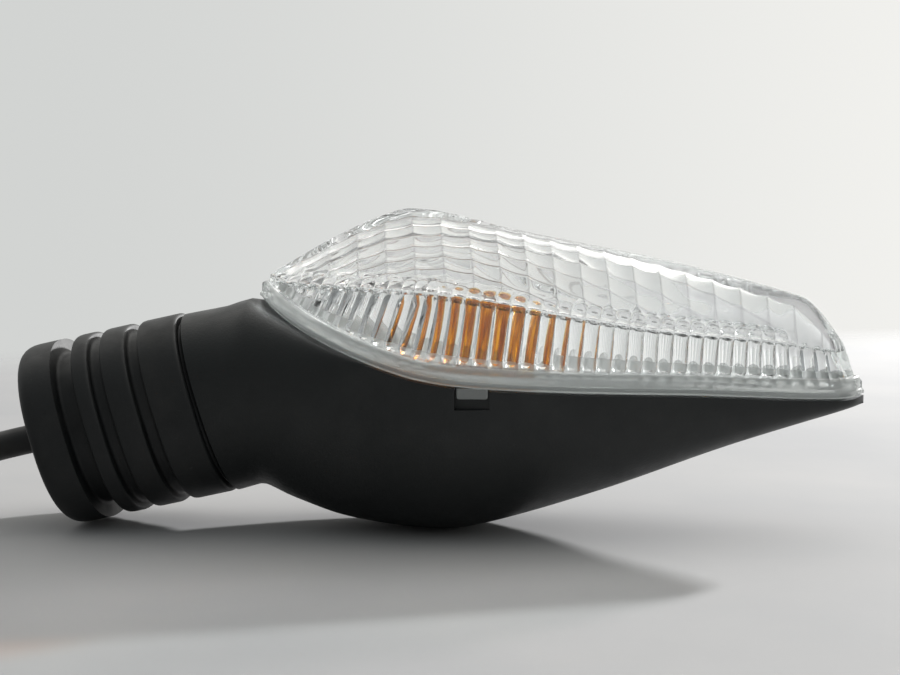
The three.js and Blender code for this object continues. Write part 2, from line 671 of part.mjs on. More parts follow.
// Two-way connector: the block with its two terminal ways, and a latch on top.
function makeConnector() {
  const block = boxAt(20, 13, 8.4, CONNECTOR_X + 14, TAIL_Y, CONNECTOR_Z);
  const latch = boxAt(11, 5, 1.6, CONNECTOR_X + 16, TAIL_Y, CONNECTOR_Z + 4.8);
  const ways = [-0.5, 0.5].map((side) => {
    return boxAt(15, 3.2, 3.2, CONNECTOR_X + 17.5, TAIL_Y + side * WAY_SPACING, CONNECTOR_Z);
  });
  return cut(join(block, latch), ...ways);
}

const makeConnectorSeal = () => boxAt(3.4, 9, 6.6, CONNECTOR_X + 1.9, TAIL_Y, CONNECTOR_Z);

function makeTerminal(side) {
  return boxAt(11, 2.4, 0.9, CONNECTOR_X + 15.9, TAIL_Y + (side * WAY_SPACING) / 2, CONNECTOR_Z);
}

// ---- assembly -------------------------------------------------------------------------------------------

const part = new THREE.Group();

function add(name, geometry, [color, roughness, metalness, opacity = 1]) {
  const material = new THREE.MeshStandardMaterial({ color, roughness, metalness });
  material.opacity = opacity;
  material.transparent = opacity < 1;
  const mesh = new THREE.Mesh(closedGeometry(geometry), material);
  mesh.name = name;
  part.add(mesh);
}

const BLACK_PLASTIC = [0x1d1f1e, 0.5, 0];
const RUBBER = [0x151717, 0.75, 0];
const CLEAR = [0xdfe3e2, 0.08, 0, 0.45];
const CHROME = [0xd8d8d4, 0.12, 1];
const BRASS = [0xb9975a, 0.35, 1];
const STEEL = [0x9a9c9e, 0.4, 1];
const AMBER = [0xe07a10, 0.1, 0, 0.7];
const INSULATOR = [0x2b2018, 0.6, 0];

add('housing', makeHousing(), BLACK_PLASTIC);
add('stalk_core', makeStalkCore(), BLACK_PLASTIC);
add('rubber_stalk', makeRubberStalk(), RUBBER);
add('flange_plate', makeFlangePlate(), STEEL);
add('strain_relief', makeStrainRelief(), RUBBER);
add('lens', makeLens(), CLEAR);
add('lens_gasket', makeGasket(), RUBBER);
add('reflector', makeReflector(), CHROME);

add('socket_shell', makeSocketShell(), STEEL);
add('spring_seat', disc(4.4, SEAT_Z, SEAT_Z + 0.4), INSULATOR);
add('live_terminal', boxAt(15, 3, 0.3, BULB_X - 4.5, 0, STRIP_Z), BRASS);
add('earth_terminal', boxAt(0.6, 4, 6, EARTH_TAG.x, EARTH_TAG.y, EARTH_TAG.z), STEEL);
add('contact_spring', makeContactSpring(), STEEL);
add('plunger_disc', washer(1.9, 7, DISC_Z, DISC_Z + 0.7), INSULATOR);
add('plunger_contact', disc(1.5, DISC_Z - 0.6, DISC_Z + 0.75, 16), BRASS);

add('bulb_contact', makeBulbContact(), STEEL);
add('bulb_insulator', makeBulbInsulator(), INSULATOR);
add('bulb_base', makeBulbBase(), BRASS);
add('bulb_pin_near', makeBulbPin(-1), BRASS);
add('bulb_pin_far', makeBulbPin(1), BRASS);
add('bulb_glass', makeBulbGlass(), AMBER);
add('bulb_stem', makeBulbStem(), CLEAR);
add('filament_post_near', makeFilamentPost(-1), STEEL);
add('filament_post_far', makeFilamentPost(1), STEEL);
add('filament', makeFilament(), STEEL);

add('live_wire', headWire(-1, LIVE_WIRE_END), RUBBER);
add('earth_wire', headWire(1, EARTH_WIRE_END), RUBBER);
add('stalk_live_wire', stalkWire(-1), RUBBER);
add('stalk_earth_wire', stalkWire(1), RUBBER);
add('lead', makeLead(), RUBBER);
add('lead_coil', makeLeadCoil(), RUBBER);
add('lead_tail', makeLeadTail(), RUBBER);
add('connector_seal', makeConnectorSeal(), RUBBER);
add('connector', makeConnector(), BLACK_PLASTIC);
add('connector_terminal_live', makeTerminal(-1), BRASS);
add('connector_terminal_earth', makeTerminal(1), BRASS);

export default part;
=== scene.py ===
import json
import math

import bmesh
import bpy
import numpy as np
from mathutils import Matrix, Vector
from mathutils.bvhtree import BVHTree
from mathutils.geometry import delaunay_2d_cdt


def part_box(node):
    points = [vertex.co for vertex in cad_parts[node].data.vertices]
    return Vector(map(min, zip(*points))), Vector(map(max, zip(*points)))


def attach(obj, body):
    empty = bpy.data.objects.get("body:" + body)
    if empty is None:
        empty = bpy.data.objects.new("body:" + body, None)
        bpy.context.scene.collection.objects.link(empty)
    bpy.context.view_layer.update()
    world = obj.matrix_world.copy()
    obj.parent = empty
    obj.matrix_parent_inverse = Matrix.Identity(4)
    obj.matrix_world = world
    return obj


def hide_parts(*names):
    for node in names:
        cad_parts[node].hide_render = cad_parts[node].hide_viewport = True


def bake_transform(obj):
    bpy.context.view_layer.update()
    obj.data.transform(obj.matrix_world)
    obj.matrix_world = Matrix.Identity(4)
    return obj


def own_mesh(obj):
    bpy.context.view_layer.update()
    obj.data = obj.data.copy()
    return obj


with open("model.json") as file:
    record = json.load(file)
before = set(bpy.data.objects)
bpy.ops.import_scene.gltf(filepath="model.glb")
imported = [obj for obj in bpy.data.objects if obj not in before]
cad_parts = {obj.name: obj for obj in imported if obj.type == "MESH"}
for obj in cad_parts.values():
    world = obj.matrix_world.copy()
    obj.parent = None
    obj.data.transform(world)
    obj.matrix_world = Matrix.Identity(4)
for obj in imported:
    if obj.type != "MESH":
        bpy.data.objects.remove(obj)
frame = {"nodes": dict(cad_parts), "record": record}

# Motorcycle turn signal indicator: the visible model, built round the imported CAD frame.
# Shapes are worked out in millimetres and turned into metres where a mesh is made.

for stock in ("Cube", "Light", "Camera"):
    if stock in bpy.data.objects:
        bpy.data.objects.remove(bpy.data.objects[stock])
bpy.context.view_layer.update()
MM = 0.001
CREASE = 38

# ---- meshes from rings ---------------------------------------------------------------------------


def link(name, data):
    obj = bpy.data.objects.new(name, data)
    bpy.context.scene.collection.objects.link(obj)
    return obj


def skin(rings, loop=False, cap=True):
    """Points and faces of a surface stretched over closed rings that have the same number of points."""
    rings = np.asarray(rings, float)
    levels, count = rings.shape[:2]
    faces = []
    for i in range(levels if loop else levels - 1):
        here, above = i * count, (i + 1) % levels * count
        for j in range(count):
            k = (j + 1) % count
            faces.append((here + j, here + k, above + k, above + j))
    if cap and not loop:
        faces.append(tuple(range(count))[::-1])
        faces.append(tuple(range((levels - 1) * count, levels * count)))
    return rings.reshape(-1, 3), faces


def mesh_object(name, points, faces, crease=CREASE):
    """A smooth shaded object from millimetre points. Edges that turn more than the crease stay sharp."""
    mesh = bpy.data.meshes.new(name)
    mesh.from_pydata((np.asarray(points, float) * MM).tolist(), [], faces)
    tidy = bmesh.new()
    tidy.from_mesh(mesh)
    bmesh.ops.remove_doubles(tidy, verts=tidy.verts, dist=2e-6)
    bmesh.ops.dissolve_degenerate(tidy, dist=1e-6, edges=tidy.edges)
    bmesh.ops.recalc_face_normals(tidy, faces=tidy.faces)
    tidy.to_mesh(mesh)
    tidy.free()
    mesh.shade_smooth()
    mesh.set_sharp_from_angle(angle=math.radians(crease))
    return link(name, mesh)


def ring_object(name, rings, loop=False, cap=True, crease=CREASE):
    return mesh_object(name, *skin(rings, loop, cap), crease)


def apply_modifiers(obj):
    """Turns what the modifiers show into the object's own mesh."""
    shown = obj.evaluated_get(bpy.context.evaluated_depsgraph_get())
    obj.data = bpy.data.meshes.new_from_object(shown)
    obj.modifiers.clear()


def carve(obj, *tools):
    """Cuts the tools away from the object and deletes them."""
    for tool in tools:
        cut = obj.modifiers.new("cut", "BOOLEAN")
        cut.operation, cut.solver, cut.object = "DIFFERENCE", "EXACT", tool
    apply_modifiers(obj)
    for tool in tools:
        bpy.data.objects.remove(tool)
    obj.data.set_sharp_from_angle(angle=math.radians(CREASE))


def box_tool(low, high):
    x, y, z = zip(low, high)
    ring = np.array([[x[0], y[0]], [x[1], y[0]], [x[1], y[1]], [x[0], y[1]]])
    return ring_object("tool", [np.c_[ring, np.full(4, level)] for level in z])


def rounded(corners, radius, steps=4):
    """A polyline with each inner corner replaced by an arc that starts and ends at most radius away."""
    corners = np.asarray(corners, float)
    line = [corners[0]]
    for before, corner, after in zip(corners[:-2], corners[1:-1], corners[2:]):
        reach = min(radius, *(np.linalg.norm(corner - end) / 2.01 for end in (before, after)))
        start = corner + (before - corner) / np.linalg.norm(before - corner) * reach
        end = corner + (after - corner) / np.linalg.norm(after - corner) * reach
        for t in np.linspace(0, 1, steps + 1):
            line.append((1 - t) ** 2 * start + 2 * t * (1 - t) * corner + t * t * end)
    line.append(corners[-1])
    return np.array(line)


# ---- curves ----------------------------------------------------------------------------------------


def mix(a, b, share):
    return a + (b - a) * share


def smooth(x, low, high):
    t = np.clip((np.asarray(x, float) - low) / (high - low), 0, 1)
    return t * t * (3 - 2 * t)


def through(knots, samples):
    """Evenly timed points of a uniform Catmull-Rom curve through the knots."""
    knots = np.asarray(knots, float)
    last = len(knots) - 1
    time = np.linspace(0, last, samples + 1)
    i = np.minimum(time.astype(int), last)
    t = (time - i)[:, None]
    before, here = knots[np.maximum(i - 1, 0)], knots[i]
    after, beyond = knots[np.minimum(i + 1, last)], knots[np.minimum(i + 2, last)]
    leave, arrive = (after - before) / 2, (beyond - here) / 2
    return (
        (2 * here - 2 * after + leave + arrive) * t**3
        + (3 * after - 3 * here - 2 * leave - arrive) * t**2
        + leave * t
        + here
    )


def height_curve(*knots, samples=160):
    points = through(knots, samples)
    return lambda x: np.interp(x, points[:, 0], points[:, 1])


# ---- camera ----------------------------------------------------------------------------------------

CAMERA_PLACE = (0.02273, -0.29927, 0.0590)
CAMERA_YAW = 4.0
CAMERA_PITCH = 3.5
CAMERA_LENS = 67.2
CAMERA_SHIFT = -0.0428
CAMERA_SENSOR = 36


def make_camera():
    camera = link("camera", bpy.data.cameras.new("camera"))
    camera.location = CAMERA_PLACE
    camera.rotation_euler = (math.radians(90 - CAMERA_PITCH), 0, math.radians(CAMERA_YAW))
    camera.data.sensor_width = CAMERA_SENSOR
    camera.data.lens = CAMERA_LENS
    camera.data.shift_y = CAMERA_SHIFT
    camera.data.clip_start = 0.01
    bpy.context.scene.camera = camera


make_camera()

# ---- materials -------------------------------------------------------------------------------------


class Nodes:
    """Short names for building one procedural material on object coordinates."""

    def __init__(self, name):
        self.material = bpy.data.materials.new(name)
        self.material.use_nodes = True
        self.tree = self.material.node_tree
        self.tree.nodes.clear()
        self.place = self.add("ShaderNodeTexCoord").outputs["Object"]
        self.output = self.add("ShaderNodeOutputMaterial")

    def add(self, kind, **inputs):
        node = self.tree.nodes.new(kind)
        for socket, value in inputs.items():
            self.feed(node.inputs[socket.replace("_", " ")], value)
        return node

    def feed(self, socket, value):
        if isinstance(value, bpy.types.NodeSocket):
            self.tree.links.new(value, socket)
        else:
            socket.default_value = value

    def noise(self, scale, detail=4.0, roughness=0.55, stretch=None):
        place = self.place
        if stretch:
            place = self.add("ShaderNodeMapping", Vector=place, Scale=stretch).outputs[0]
        node = self.add("ShaderNodeTexNoise", Vector=place, Scale=scale, Detail=detail,
                        Roughness=roughness)
        return node.outputs["Fac"]

    def ramp(self, value, low, high, to_low, to_high):
        node = self.add("ShaderNodeMapRange", Value=value)
        for i, number in enumerate((low, high, to_low, to_high)):
            node.inputs[i + 1].default_value = number
        return node.outputs[0]

    def blend(self, share, first, second):
        node = self.add("ShaderNodeMix")
        node.data_type = "RGBA"
        self.feed(node.inputs[0], share)
        self.feed(node.inputs[6], first)
        self.feed(node.inputs[7], second)
        return node.outputs[2]

    def math(self, operation, first, second):
        node = self.add("ShaderNodeMath")
        node.operation = operation
        self.feed(node.inputs[0], first)
        self.feed(node.inputs[1], second)
        return node.outputs[0]

    def axes(self):
        return self.add("ShaderNodeSeparateXYZ", Vector=self.place).outputs

    def bump(self, height, strength, distance):
        node = self.add("ShaderNodeBump", Height=height, Strength=strength, Distance=distance)
        return node.outputs[0]

    def finish(self, shader):
        self.tree.links.new(shader, self.output.inputs["Surface"])
        return self.material


def moulded(name, colour, dusty, dust, roughness, grain=2600, grain_depth=0.00004, dust_scale=90,
            metallic=0.0):
    """Moulded plastic, rubber or plated metal: fine grain, patches of dust and rougher spots."""
    n = Nodes(name)
    cloud = n.noise(dust_scale, 6, 0.62)
    specks = n.noise(1900, 2, 0.7)
    share = n.ramp(cloud, 0.5, 0.78, 0.0, dust)
    dots = n.ramp(specks, 0.66, 0.74, 0.0, dust)
    base = n.blend(dots, n.blend(share, colour, dusty), dusty)
    shine = n.ramp(n.noise(240, 5), 0.3, 0.7, roughness[0], roughness[1])
    relief = n.bump(n.noise(grain, 3), 0.5, grain_depth)
    shader = n.add("ShaderNodeBsdfPrincipled", Base_Color=base, Roughness=shine, Normal=relief)
    shader.inputs["Metallic"].default_value = metallic
    return n.finish(shader.outputs[0])


def clear(name, tint, roughness, ior=1.49, streak_scale=700, lamp_tint=(0.93, 0.94, 0.94, 1), haze=0.0,
          pattern=None):
    """Clear or tinted moulding that lets lamps through, with flow marks, fine scuffs and perhaps haze."""
    n = Nodes(name)
    scuffs = n.ramp(n.noise(streak_scale, 5, 0.6, (1, 1, 0.3)), 0.45, 0.8, roughness[0], roughness[1])
    relief = n.bump(n.noise(260, 2), 0.25, 0.00002)
    colour = pattern(n, tint) if pattern else tint
    shader = n.add("ShaderNodeBsdfPrincipled", Base_Color=colour, Roughness=scuffs, Normal=relief)
    shader.inputs["IOR"].default_value = ior
    shader.inputs["Transmission Weight"].default_value = 1.0 - haze
    through_light = n.add("ShaderNodeBsdfTransparent", Color=lamp_tint)
    rays = n.add("ShaderNodeLightPath")
    both = n.add("ShaderNodeMixShader", Fac=rays.outputs["Is Shadow Ray"])
    n.tree.links.new(shader.outputs[0], both.inputs[1])
    n.tree.links.new(through_light.outputs[0], both.inputs[2])
    return n.finish(both.outputs[0])


PILLOW_PITCH = (4.8, 2.25)
PILLOW_SKEW = 0.14


def painted_crease_shade(n, tint):
    """Painted shade: brownish dark lines along the creases between rows of pillows, fading to pale grey
    towards the tip, and paler grey ones along the creases across them.
    """
    x, y, _ = n.axes()
    crease_shade_colour = n.blend(n.ramp(x, 0.008, 0.030, 0.0, 1.0), (0.16, 0.10, 0.075, 1), (0.75, 0.75, 0.76, 1))
    # Painted shade along the creases between the rows of pillows.
    row = n.math("PINGPONG", y, PILLOW_PITCH[1] / 2 * MM)
    lengthwise_crease_shade = n.ramp(row, 0.00004, 0.00012, 1.0, 0.0)
    # Painted shade along the creases across the rows of pillows.
    column = n.math("SUBTRACT", x, n.math("MULTIPLY", n.math("ABSOLUTE", y, 0.0), PILLOW_SKEW))
    across = n.ramp(n.math("PINGPONG", column, PILLOW_PITCH[0] / 2 * MM), 0.00005, 0.00025, 0.5, 0.0)
    return n.blend(across, n.blend(lengthwise_crease_shade, tint, crease_shade_colour), (0.42, 0.42, 0.42, 1))


PLASTIC = moulded("satin_black_plastic", (0.0060, 0.0078, 0.0080, 1), (0.05, 0.05, 0.048, 1), 0.16,
                  (0.40, 0.54), grain_depth=0.00008)
RUBBER = moulded("black_rubber", (0.0055, 0.0065, 0.0070, 1), (0.06, 0.057, 0.05, 1), 0.22,
                 (0.46, 0.62), grain=1500, grain_depth=0.00006)
SHEATH = moulded("lead_sheath", (0.011, 0.011, 0.011, 1), (0.07, 0.068, 0.06, 1), 0.35,
                 (0.45, 0.6), grain=1800)
STEEL = moulded("plated_steel", (0.42, 0.43, 0.44, 1), (0.2, 0.18, 0.15, 1), 0.3, (0.25, 0.42),
                metallic=1.0)
BRASS = moulded("brass", (0.52, 0.36, 0.15, 1), (0.22, 0.14, 0.07, 1), 0.35, (0.26, 0.42), metallic=1.0)
SOLDER = moulded("solder", (0.48, 0.48, 0.47, 1), (0.2, 0.2, 0.19, 1), 0.3, (0.35, 0.5), metallic=1.0)
TUNGSTEN = moulded("filament_wire", (0.22, 0.22, 0.23, 1), (0.1, 0.1, 0.1, 1), 0.3, (0.35, 0.5),
                   grain=5000, metallic=1.0)
MIRROR = moulded("mirror_coating", (0.76, 0.77, 0.78, 1), (0.10, 0.10, 0.10, 1), 0.9, (0.06, 0.14),
                 grain=900, grain_depth=0.00001, dust_scale=210, metallic=1.0)
INSULATOR = moulded("insulator", (0.035, 0.02, 0.014, 1), (0.08, 0.06, 0.05, 1), 0.3, (0.5, 0.65))
LIVE_WIRE = moulded("live_wire", (0.16, 0.012, 0.008, 1), (0.2, 0.08, 0.06, 1), 0.3, (0.4, 0.55))
EARTH_WIRE = moulded("earth_wire", (0.010, 0.010, 0.010, 1), (0.06, 0.06, 0.06, 1), 0.3, (0.4, 0.55))


def amber_coat(n, tint):
    """Amber lacquer that is thicker and browner in upright streaks."""
    streaks = n.ramp(n.noise(420, 2, 0.5, (1, 1, 0.25)), 0.44, 0.56, 0.0, 1.0)
    return n.blend(streaks, tint, (0.52, 0.20, 0.03, 1))


CLEAR_LENS = clear("clear_lens", (0.97, 0.98, 0.98, 1), (0.01, 0.05), haze=0.01)
# The optics material carries painted shade along the pillow creases.
LENS_OPTICS = clear("clear_lens_optics_painted_shade", (0.97, 0.98, 0.98, 1), (0.03, 0.09), haze=0.10,
                    pattern=painted_crease_shade)
LENS_FLANGE = clear("clear_lens_flange", (0.54, 0.56, 0.55, 1), (0.10, 0.24), haze=0.36)
AMBER_GLASS = clear("amber_glass", (1.0, 0.66, 0.05, 1), (0.02, 0.05), 1.5, 300, (1.0, 0.72, 0.35, 1),
                    pattern=amber_coat)
CLEAR_GLASS = clear("clear_glass", (0.95, 0.97, 0.96, 1), (0.02, 0.05), 1.5, 300)

SLOT_MATERIALS = {
    "black_plastic": PLASTIC, "rubber": RUBBER, "lead_sheath": SHEATH, "live_wire": LIVE_WIRE,
    "earth_wire": EARTH_WIRE, "plated_steel": STEEL, "filament_wire": TUNGSTEN, "insulator": INSULATOR,
    "brass": BRASS, "solder": SOLDER, "clear_lens": CLEAR_LENS, "mirror_coating": MIRROR,
    "amber_glass": AMBER_GLASS, "clear_glass": CLEAR_GLASS,
}


def dress(obj, slot, *nodes):
    """Gives a piece the material of its slot and hides the CAD nodes that it stands for."""
    obj.data.materials.clear()
    obj.data.materials.append(SLOT_MATERIALS[slot])
    if nodes:
        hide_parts(*nodes)
    return obj


# ---- the lead, its coil and its tie ----------------------------------------------------------------

LEAD_DIAMETER = 0.0052
LEAD_REST = 0.00265
LEAD_ROUTE = [
    (-0.07079, 0, 0.01561), (-0.0767, 0, 0.0143), (-0.083, 0, 0.0127), (-0.090, 0.0008, 0.0105),
    (-0.097, 0.0027, 0.0079), (-0.104, 0.0052, 0.0054), (-0.111, 0.0079, 0.0036), (-0.118, 0.0103, 0.0028),
    (-0.125, 0.0117, LEAD_REST),
]
COIL_CENTRE = (-0.129, -0.014)
COIL_RADIUS = 0.026
COIL_TURNS = 1.5
COIL_STEPS = 48
PASS_SPACING = 0.0058
TAIL_Y = COIL_CENTRE[1] - COIL_RADIUS
TAIL_ROUTE = [
    (-0.125, TAIL_Y, 0.00825), (-0.121, TAIL_Y, 0.00775), (-0.117, TAIL_Y, 0.0070),
    (-0.113, TAIL_Y, 0.00595), (-0.109, TAIL_Y, 0.0050), (-0.1045, TAIL_Y, 0.0044),
]


def coil_points():
    """Counter-clockwise from the far side; late in the first turn the lead climbs over its start."""
    for i in range(round(COIL_TURNS * COIL_STEPS) + 1):
        travel = 360 * i / COIL_STEPS
        angle = math.radians(90 + travel)
        yield (
            COIL_CENTRE[0] + COIL_RADIUS * math.cos(angle),
            COIL_CENTRE[1] + COIL_RADIUS * math.sin(angle),
            LEAD_REST + PASS_SPACING * float(smooth(travel, 236, 300)),
        )


def make_lead():
    route = [*LEAD_ROUTE, *coil_points(), *TAIL_ROUTE]
    line = through(route, 2 * (len(route) - 1))
    curve = bpy.data.curves.new("lead_sheathed", "CURVE")
    curve.dimensions = "3D"
    spline = curve.splines.new("POLY")
    spline.points.add(len(line) - 1)
    spline.points.foreach_set("co", np.c_[line, np.ones(len(line))].ravel())
    curve.bevel_depth = LEAD_DIAMETER / 2
    curve.bevel_resolution = 6
    curve.use_fill_caps = True
    length = float(np.linalg.norm(np.diff(line, axis=0), axis=1).sum())
    lead = dress(link("lead_sheathed", curve), "lead_sheath", "lead", "lead_coil", "lead_tail")
    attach(lead, "mount")
    return lead, length


lead, LEAD_LENGTH = make_lead()

# ---- small CAD pieces: the same shapes with joined faces and broken edges ---------------------------


def polished(node, body, slot, edge):
    """A copy of a CAD node with its faces joined, its sharp edges rounded and a finished material."""
    source = frame["nodes"][node].data
    points = [tuple(v.co / MM) for v in source.vertices]
    faces = [tuple(p.vertices) for p in source.polygons]
    obj = mesh_object(f"{node}_finished", points, faces, 30)
    if edge:
        flat = bmesh.new()
        flat.from_mesh(obj.data)
        bmesh.ops.dissolve_limit(flat, angle_limit=math.radians(1), verts=flat.verts, edges=flat.edges)
        flat.to_mesh(obj.data)
        flat.free()
        bevel = obj.modifiers.new("edge", "BEVEL")
        bevel.width, bevel.segments, bevel.limit_method = edge * MM, 2, "ANGLE"
        bevel.angle_limit = math.radians(40)
        apply_modifiers(obj)
        obj.data.set_sharp_from_angle(angle=math.radians(CREASE))
    dress(obj, slot, node)
    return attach(obj, body)


BODY_OF = {node: body for body, nodes in frame["record"]["behaviour"]["bodies"].items() for node in nodes}


def node_slot(node):
    return frame["nodes"][node].material_slots[0].material.name.split(".")[0]


# ---- the rim ---------------------------------------------------------------------------------------

TIP_X = 75.0
RIM_START_X = -32.5
RIM_START_Z = 40.8
RIM_END_Z = 24.0
RIM_DROOP = 0.40
RIM_CREST_RADIUS = 3.0
WALL = 2.2
GAP = 0.3
OUTLINE = [(RIM_START_X, 0), (-28.9, 6.4), (-20.7, 14.3), (-8.8, 20.9), (2.5, 22.9), (21.6, 19.2),
           (45.4, 12.4), (64, 7.4), (72, 4.2), (TIP_X, 0)]
rim_curve = height_curve(*OUTLINE, samples=400)


def rim_half_width(x):
    return np.maximum(0, rim_curve(x))


def rim_height(x, y):
    spine = mix(RIM_START_Z, RIM_END_Z, (x - RIM_START_X) / (TIP_X - RIM_START_X))
    return spine - RIM_DROOP * (np.hypot(y, RIM_CREST_RADIUS) - RIM_CREST_RADIUS)


# The near side of the outline by the distance along it, with its inward normal.
TABLE = np.linspace(0, 1, 3001)
TABLE_X = RIM_START_X + (TIP_X - RIM_START_X) * (1 - np.cos(np.pi * TABLE)) / 2
TABLE_Y = -rim_half_width(TABLE_X)
TABLE_ARC = np.r_[0, np.cumsum(np.hypot(np.diff(TABLE_X), np.diff(TABLE_Y)))]
SLOPE = np.c_[np.gradient(TABLE_X, TABLE_ARC), np.gradient(TABLE_Y, TABLE_ARC)]
SLOPE = np.array([np.convolve(np.pad(s, 20, "edge"), np.ones(41) / 41, "valid") for s in SLOPE.T]).T
SLOPE /= np.linalg.norm(SLOPE, axis=1)[:, None]
RIM_LENGTH = TABLE_ARC[-1]


def rim_x(arc):
    return np.interp(arc, TABLE_ARC, TABLE_X)


def rim_side(arc, inset):
    """Plan points of the near side at these distances along the rim, moved inwards."""
    across = np.interp(arc, TABLE_ARC, SLOPE[:, 0])
    along = np.interp(arc, TABLE_ARC, SLOPE[:, 1])
    x = rim_x(arc) - along * inset
    y = np.interp(arc, TABLE_ARC, TABLE_Y) + across * inset
    y[[0, -1]] = 0
    inside = np.flatnonzero(y[1:-1] < 0) + 1
    first, last = inside[0], inside[-1]
    x[:first], y[:first] = (x[0], 0) if first == 1 else (x[first], 0)
    x[last + 1:], y[last + 1:] = (x[-1], 0) if last == len(x) - 2 else (x[last], 0)
    return x, y


def both_sides(x, y, z):
    """A closed ring from its near side, which runs from the stalk end to the tip."""
    near = np.c_[x, y, z]
    far = near[-2:0:-1] * (1, -1, 1)
    return np.r_[near, far]


def rim_band(arc, inset, lift):
    x, y = rim_side(arc, inset)
    return both_sides(x, y, rim_height(x, y) + lift)


PLAIN_ARC = RIM_LENGTH * (1 - np.cos(np.linspace(0, np.pi, 121))) / 2

# ---- lens ------------------------------------------------------------------------------------------

LENS_LIFT = 1.15
LENS_FLANGE_TOP = 3.3
LENS_LEDGE = 1.5
WALL_SLANT = 0.33
LENS_THICKNESS = 2.2
SPINE_START_X = -8.0
SPINE_END_X = 62.0
TAB_X = 7.0
TAB_WIDTH = 5.2
TAB_DROP = 1.5
TAB_THICKNESS = 0.75
FLUTE_PITCH = 2.72
FLUTE_STEPS = 10
FLUTE_DEPTH = 0.55
INNER_FLUTE_DEPTH = 0.9
FLUTES_END_X = 63.0
FLUTE_LEAN = math.tan(math.radians(11))
BEAD_ZONE = 2.3
BEAD_SWELL = 1.45
PILLOW_DEPTH = (0.38, 0.2)
PILLOW_STEPS = (12, 8)

ridge_height = height_curve((RIM_START_X, 45), (-28, 45.2), (-19, 45), (-11, 44.8), (-1.6, 44.3),
                            (7.2, 42.9), (21.8, 40.3), (39.9, 37.2), (59.9, 35), (TIP_X, 32.6))
crest_height = height_curve((-26, 47.8), (-18.3, 52.2), (SPINE_START_X, 56.4), (-2.9, 56.7), (3.1, 55.7),
                            (14.6, 52.9), (38.2, 48.2), (52.1, 44.8), (63.5, 41.4))

LENS_ARC = np.linspace(0, RIM_LENGTH, round(RIM_LENGTH / FLUTE_PITCH) * FLUTE_STEPS + 1)
FLUTE_PHASE = np.arange(len(LENS_ARC)) % FLUTE_STEPS / FLUTE_STEPS
FLUTE_ROUND = 1 - (2 * FLUTE_PHASE - 1) ** 2


def wall_height(arc):
    x = rim_x(arc)
    return np.maximum(0, ridge_height(x) - (rim_height(x, rim_half_width(x)) + LENS_FLANGE_TOP))


def ridge_inset(arc):
    return LENS_LEDGE + WALL_SLANT * wall_height(arc)


def leaning(share):
    """The distances along the rim of the flute lines, at this share of the way up the wall."""
    ends = smooth(LENS_ARC, 0, 14) * (1 - smooth(LENS_ARC, RIM_LENGTH - 28, RIM_LENGTH - 8))
    return LENS_ARC + FLUTE_LEAN * ends * wall_height(LENS_ARC) * share


def wall_row(share, push):
    """A row of the outer wall, from its foot (share 0) to the ridge (share 1), pushed outwards."""
    arc = leaning(share)
    x, y = rim_side(arc, mix(LENS_LEDGE, ridge_inset(arc), share) - push)
    foot = rim_height(x, y) + LENS_FLANGE_TOP
    return both_sides(x, y, mix(foot, ridge_height(x), share))


def dome_thin(x, inward):
    return inward * mix(1, 0.65, smooth(x, 45, 70))


def dome_row(share, inward):
    """A row of the dome, from the ridge (share 0) to the crest line (share 1)."""
    arc = leaning(1)
    x, y = rim_side(arc, ridge_inset(arc) + dome_thin(rim_x(arc), inward))
    along = (x - x[0]) / (x[-1] - x[0])
    spine = mix(SPINE_START_X + inward, SPINE_END_X - inward, along)
    full = mix(0.35, 1, smooth(x, -30, -12))
    rise = mix(share, math.sin(math.pi / 2 * share), full)
    low = ridge_height(x) - 0.8 * inward
    return both_sides(mix(x, spine, share), y * (1 - share), mix(low, crest_height(spine) - inward, rise))


def flute_strength(x):
    """Flutes are full along the side and die out into the plain end at the tip."""
    return 1 - smooth(x, FLUTES_END_X - 3, FLUTES_END_X + 1)


def outer_wall_rows():
    """The fluted wall: a shaft with a rounded bead on top of each flute."""
    tall = wall_height(LENS_ARC)
    zone = np.minimum(BEAD_ZONE, 0.6 * tall)
    size = flute_strength(rim_x(LENS_ARC)) * smooth(tall, 0.3, 3)
    rows = []
    for up in (0, 0.03, 0.07, 0.13, 0.25, 0.45, 0.65, 0.85):
        share = up * (tall - zone) / tall
        rows.append((share, size * FLUTE_ROUND * float(smooth(up, 0, 0.07))))
    for up in np.linspace(0, 0.94, 14):
        share = 1 - zone / tall * (1 - up)
        shaft = max(0.35, 1 - float(smooth(up, 0, 0.22)))
        bead = BEAD_SWELL * math.sqrt(max(0, 1 - ((up - 0.72) / 0.36) ** 2))
        rows.append((share, size * FLUTE_ROUND * (max(shaft, bead) if up < 0.7 else bead)))
    return [wall_row(share, FLUTE_DEPTH * (push - 0.4 * size)) for share, push in rows]


def rounded_ridge(wall, ridge, dome):
    """Rows that round the corner off, pulled towards the ridge."""
    return [mix(mix(wall, ridge, t), mix(ridge, dome, t), t) for t in np.linspace(0, 1, 6)[1:-1]]


def flange_rows():
    """From the inner foot, under the lip that stands on the rim, and up the face of the flange."""
    profile = [(2.9, LENS_LIFT), (0.95, LENS_LIFT), (0.65, 1.0), (0.6, 0.75), (0.6, 0.4), (0.5, GAP),
               (0.15, GAP), (0.03, 0.36), (0, 0.5), (0, 0.78), (0.06, 0.94), (0.2, 1.06), (0.36, 1.18),
               (0.42, 1.4), (0.42, 2.4), (0.5, 2.78), (0.68, 3.06), (0.95, 3.24), (1.25, LENS_FLANGE_TOP)]
    return [rim_band(LENS_ARC, inset, lift) for inset, lift in profile]


